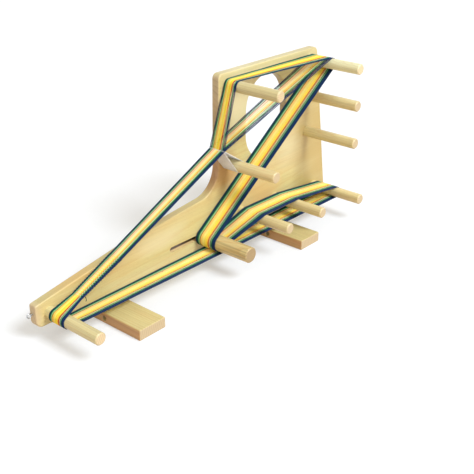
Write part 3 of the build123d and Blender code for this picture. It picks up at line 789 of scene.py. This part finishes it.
WEFT_RADIUS = 0.30 * MM
WEFT_FIRST_PICK = 3          # where the weft comes in
WEFT_OUTSIDE = 0.1 * MM      # how far outside the band's edges it turns
WEFT_BULGE = 0.35 * MM       # and how far its turns bulge from there
WEFT_TAIL = 8 * MM           # the end of the weft that hangs from the first pick
WEFT_TAIL_RADIUS = 0.55 * MM         # it has come apart into its plies
WEFT_TAIL_SHARES = (1, 0.85, 0.7, 0.55, 0.4, 0.25, 0.12)     # its points, from its free end up
WEFT_TAIL_LEAN = (0.3 * MM, -0.6 * MM)       # how far its free end is from plumb, in X and Y
WEFT_TAIL_BOW = 1.6 * MM


def add_weft(tubes):
    """The weft yarn: to and fro through the woven start, with its first end hanging from the tip side."""
    runs = [run(*WEAVING_RUN, layer) for layer in (HEDDLED, OPEN)]
    base, end = [(runs[0][side] + runs[1][side]) / 2 for side in (0, 1)]
    length = np.linalg.norm(end - base)
    direction = (end - base) / length

    def place(s, y):
        x, z = base + direction * s
        return x, y, z

    first = WOVEN_FROM + WEFT_FIRST_PICK * PICK_PITCH
    x, y, z = place(first, FRONT_FACE - weaving_edges(first, length)[1])
    lean_x, lean_y = WEFT_TAIL_LEAN
    points = [(x + lean_x * t, y - WEFT_TAIL_BOW * math.sin(math.pi * t) + lean_y * t, z - WEFT_TAIL * t)
              for t in WEFT_TAIL_SHARES]
    for pick in range(WEFT_FIRST_PICK, int((WOVEN_TO - WOVEN_FROM) / PICK_PITCH)):
        s = WOVEN_FROM + pick * PICK_PITCH
        near, far = weaving_edges(s, length)
        sides = [FRONT_FACE - far - WEFT_OUTSIDE, FRONT_FACE - near + WEFT_OUTSIDE]
        bulge = WEFT_BULGE
        if pick % 2 == 0:
            sides.reverse()
            bulge = -WEFT_BULGE
        points += [place(s, sides[0] + (sides[1] - sides[0]) * t) for t in (0, 0.5, 1)]
        points += [place(s + share * PICK_PITCH, sides[1] + part * bulge)
                   for share, part in ((0.25, 0.7), (0.5, 1), (0.75, 0.7))]
    row = np.array(points)
    side, normal = ring_frames(row, False, (-direction[1], 0, direction[0]))
    tail = len(WEFT_TAIL_SHARES)
    radii = [WEFT_TAIL_RADIUS] * tail + [WEFT_RADIUS] * (len(row) - tail)
    tubes.add(row, side, normal, radii, linear(PAINT["ink"]))


KNOTS = ((0.32, 0.30), (0.24, 0.74))         # share of the bottom return from the front peg, place across it
KNOT_REACH, KNOT_RADIUS = 1.1 * MM, 0.9 * MM
KNOT_TAIL = 2.6 * MM         # length of each of the two trimmed ends
KNOT_TAIL_SPLAY = 1.5        # how far they point sideways at most, in millimetres
KNOT_TAIL_DROP, KNOT_TAIL_BOW = 0.4 * MM, 1.2 * MM
KNOT_TAIL_RADIUS = 0.8 * YARN_RADIUS


def add_knots(tubes, yarns):
    """Small knots where two ends of warp were tied together, each with its two trimmed tails."""
    rng = random.Random(SEED + 2)
    colour = linear(PAINT["rust"])
    for share, across in KNOTS:
        yarn = yarns[min(range(ENDS_PER_LAYER), key=lambda i: abs(share_of(HEDDLED, i) - across))]
        first, last = yarn.sections[BOTTOM_RUN]
        here, there = yarn.points[last % len(yarn.points)], yarn.points[first]
        middle = here + (there - here) * share
        ahead = (there - here) / np.linalg.norm(there - here)
        steps = np.linspace(-1, 1, 7)
        bead = np.array([middle + ahead * t * KNOT_REACH for t in steps])
        radii = [KNOT_RADIUS * math.sqrt(1.05 - t * t) for t in steps]
        tubes.add(bead, *ring_frames(bead, False, (0, 1, 0)), radii, colour)
        for turn in (-1, 1):
            splay = rng.uniform(-KNOT_TAIL_SPLAY, KNOT_TAIL_SPLAY) * MM
            tip = ahead * turn * KNOT_TAIL + np.array((0, splay, -turn * KNOT_TAIL_DROP))
            bow = np.array((0, 0, -KNOT_TAIL_BOW))
            tail = np.array([middle + tip * t + bow * math.sin(math.pi * t / 1.6) for t in (0, 0.35, 0.7, 1)])
            tubes.add(tail, *ring_frames(tail, False, (0, 1, 0)), KNOT_TAIL_RADIUS, colour)


def sliding_run(yarns, key, name, node, material):
    """A run with one end on the sliding peg, in pieces, so that it stays straight while that peg slides.

    Each piece runs between two neighbouring shares of BREAKS, counted from the run's first end.
    """
    for part, (low, high) in enumerate(zip(BREAKS, BREAKS[1:]), 1):
        tubes = TubeMesh(YARN_SIDES)
        for yarn in yarns:
            first, last = yarn.sections[key]
            from_end, to_end = yarn.points[first], yarn.points[last % len(yarn.points)]
            length = yarn.along[last] - yarn.along[first]
            steps = max(1, round((high - low) * length / SLIDING_STEP))
            shares = np.linspace(low, high, steps + 1)
            row = np.array([from_end + (to_end - from_end) * share for share in shares])
            side, normal = [np.array([rows[first]] * len(row)) for rows in (yarn.side, yarn.normal)]
            tubes.add(row, side, normal, yarn.radius, yarn.colour, yarn.along[first] + shares * length)
        made = tubes.finish(f"{name}_{part}", material, "warp_yarn")
        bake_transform(made)
        if part == 1:
            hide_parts(node)


def warp(material):
    """All yarns, as one piece for each stretch of the belt."""
    yarns = spin_yarns()
    for name, (keys, nodes) in WARP_PIECES.items():
        tubes = gather(yarns, keys)
        if name == "yarns_weaving_stretch":
            add_weft(tubes)
        elif name == "yarns_bottom_return":
            add_knots(tubes, yarns)
        made = tubes.finish(name, material, "warp_yarn")
        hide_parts(*nodes)
        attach(made, "frame")
    made = gather(yarns, ["tension_peg"]).finish("yarns_tension_wrap", material, "warp_yarn")
    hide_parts("warp_tension_wrap")
    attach(made, "tensioner")
    sliding_run(yarns, BACK_RUN, "yarns_back_stretch", "warp_back_stretch", material)
    sliding_run(yarns, RETURN_RUN, "yarns_tension_return", "warp_tension_return", material)


# ---------------------------------------------------------------- string heddles
STRING_RADIUS = 0.42 * MM
STRING_SIDES = 6
STRING_GAP = 0.05 * MM       # between a heddle string and the heddle peg
STRING_COLOUR = (232, 243, 255)
STRING_BRIGHTNESS = (0.92, 1.0)
STRING_SWAY = 0.12           # how far a string strays sideways, in millimetres
STRING_PULL = 0.8            # how unevenly the strings pull up, in millimetres
PULL_DIRECTION = (0.9, 0.42)
STRING_PEG_STEPS, STRING_LEG_STEPS, STRING_YARN_STEPS = 14, 6, 6


def between(a, b):
    """Points of a string's straight leg, without its two ends."""
    return [tuple(point) for point in np.linspace(a, b, STRING_LEG_STEPS + 1)[1:-1]]


def heddles(material):
    """One string loop for each heddled end: round the heddle peg and over the yarn at the heddle point."""
    rng = random.Random(SEED + 1)
    tubes = TubeMesh(STRING_SIDES)
    axis = np.array(CENTRE["heddle_peg"])
    bend = np.array(centre_of("heddle_point", HEDDLED)) + (HEDDLE_SHIFT, -HEDDLE_SHIFT)
    around = RADIUS["heddle_peg"] + STRING_RADIUS + STRING_GAP
    tip = YARN_RADIUS + STRING_RADIUS
    for index in range(ENDS_PER_LAYER):
        y = across_band(EDGES["heddle_point"], share_of(HEDDLED, index))
        aim = bend + rng.uniform(-STRING_PULL, STRING_PULL) * MM * np.array(PULL_DIRECTION)
        reach = np.linalg.norm(aim - axis)
        lean = math.atan2(aim[1] - axis[1], aim[0] - axis[0])
        opening = math.acos((around - tip) / reach)
        over_peg = arc(axis, around, lean + opening, 2 * math.pi - 2 * opening, STRING_PEG_STEPS)
        round_yarn = arc(aim, tip, lean - opening, 2 * opening, STRING_YARN_STEPS)
        points = over_peg + between(over_peg[-1], round_yarn[0]) + round_yarn
        points += between(round_yarn[-1], over_peg[0]) + over_peg[:1]
        sway = [rng.uniform(-STRING_SWAY, STRING_SWAY) * MM for _ in points]
        sway[-1] = sway[0]
        row = np.array([(x, y + s, z) for (x, z), s in zip(points, sway)])
        side, normal = ring_frames(row, False, (0, 1, 0))
        side[-1], normal[-1] = side[0], normal[0]
        shade = rng.uniform(*STRING_BRIGHTNESS)
        tubes.add(row, side, normal, STRING_RADIUS, [c * shade for c in linear(STRING_COLOUR)])
    made = tubes.finish("heddle_strings", material, "heddle_string")
    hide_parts("string_heddles")
    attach(made, "frame")


# ---------------------------------------------------------------- studio
WORLD_FILL = 0.58
WORLD_TINT = (1.0, 0.84, 0.64)
LAMPS = {                    # strength, where it shines from, how wide it looks
    "key": (2.38, (0.06, -0.56, 0.60), math.radians(24)),
    "front_fill": (1.0, (-0.55, -0.80, 0.25), math.radians(90)),
}
FLOOR_REACH = 12.0
FLOOR_BOUNCE = (0.68, 0.52, 0.42, 1)
FLOOR_SEEN = (0.91, 1.00, 1.12, 1)
FLOOR_GLOW = 0.36            # share of the floor's white that no shadow reaches, as the camera sees it


def seen_directly(tree):
    """1 for rays that come from the camera, or from it by a mirror or through glass."""
    path = make(tree, "LightPath").outputs
    seen = maths(tree, "ADD", path["Is Camera Ray"], path["Is Glossy Ray"])
    return maths(tree, "ADD", seen, path["Is Transmission Ray"], clamp=True)


def studio():
    """Pale floor, plain soft light and a white surround."""
    floor_mesh = bpy.data.meshes.new("floor")
    corners = [(x * FLOOR_REACH, y * FLOOR_REACH, 0) for x, y in ((-1, -1), (1, -1), (1, 1), (-1, 1))]
    floor_mesh.from_pydata(corners, [], [(0, 1, 2, 3)])
    floor = bpy.data.objects.new("floor", floor_mesh)
    bpy.context.scene.collection.objects.link(floor)
    material, tree, shader = new_material("floor", 0.9, **{"Specular IOR Level": 0.0})
    seen = seen_directly(tree)
    tree.links.new(mix(tree, seen, FLOOR_BOUNCE, FLOOR_SEEN), shader.inputs["Base Color"])
    glow = make(tree, "Emission", {"Color": (1, 1, 1, 1), "Strength": 1.0})
    share = maths(tree, "MULTIPLY", seen, FLOOR_GLOW)
    both = make(tree, "MixShader", {0: share, 1: shader.outputs[0], 2: glow.outputs[0]})
    tree.links.new(both.outputs[0], tree.nodes["Material Output"].inputs["Surface"])
    floor_mesh.materials.append(material)

    world = bpy.data.worlds.new("world")
    bpy.context.scene.world = world
    world.use_nodes = True
    tree = world.node_tree
    fill = (*[c * WORLD_FILL for c in WORLD_TINT], 1)
    light = mix(tree, seen_directly(tree), fill, (1, 1, 1, 1))
    tree.links.new(light, tree.nodes["Background"].inputs["Color"])

    for name, (strength, shines_from, spread) in LAMPS.items():
        sun = bpy.data.lights.new(name, "SUN")
        sun.energy = strength
        sun.angle = spread
        lamp = bpy.data.objects.new(name, sun)
        lamp.rotation_euler = Vector(shines_from).to_track_quat("Z", "Y").to_euler()
        bpy.context.scene.collection.objects.link(lamp)


CAMERA_PLACE = (-0.9457, -0.8740, 0.6595)
CAMERA_RIGHT = (0.6444, -0.7647, 0.0)
CAMERA_UP = (0.332, 0.2797, 0.9009)
CAMERA_ROLL = math.radians(0.554)
CAMERA_LENS = 63.53
CAMERA_SENSOR = 36.0


def camera():
    """The photograph's viewpoint."""
    right, up = Vector(CAMERA_RIGHT).normalized(), Vector(CAMERA_UP).normalized()
    back = right.cross(up).normalized()
    rolled_right = math.cos(CAMERA_ROLL) * right + math.sin(CAMERA_ROLL) * up
    rolled_up = back.cross(rolled_right)
    data = bpy.data.cameras.new("camera")
    data.lens = CAMERA_LENS
    data.sensor_width = CAMERA_SENSOR
    made = bpy.data.objects.new("camera", data)
    turn = Matrix((rolled_right, rolled_up, back)).transposed()
    made.matrix_world = Matrix.Translation(CAMERA_PLACE) @ turn.to_4x4()
    bpy.context.scene.collection.objects.link(made)
    bpy.context.scene.camera = made


camera()
studio()
dress_nodes()
warp(yarn_material("warp_yarn", twist_pitch=2.6 * MM, plies=2, groove_shade_depth=0.32, sheen=0.10))
heddles(yarn_material("heddle_string", twist_pitch=2.2 * MM, plies=3, groove_shade_depth=0.2, sheen=0.6,
                      **{"Subsurface Weight": 1.0, "Subsurface Scale": 1.5 * MM,
                         "Subsurface Radius": (1.0, 1.0, 1.0)}))
bpy.context.scene.view_settings.view_transform = "Standard"
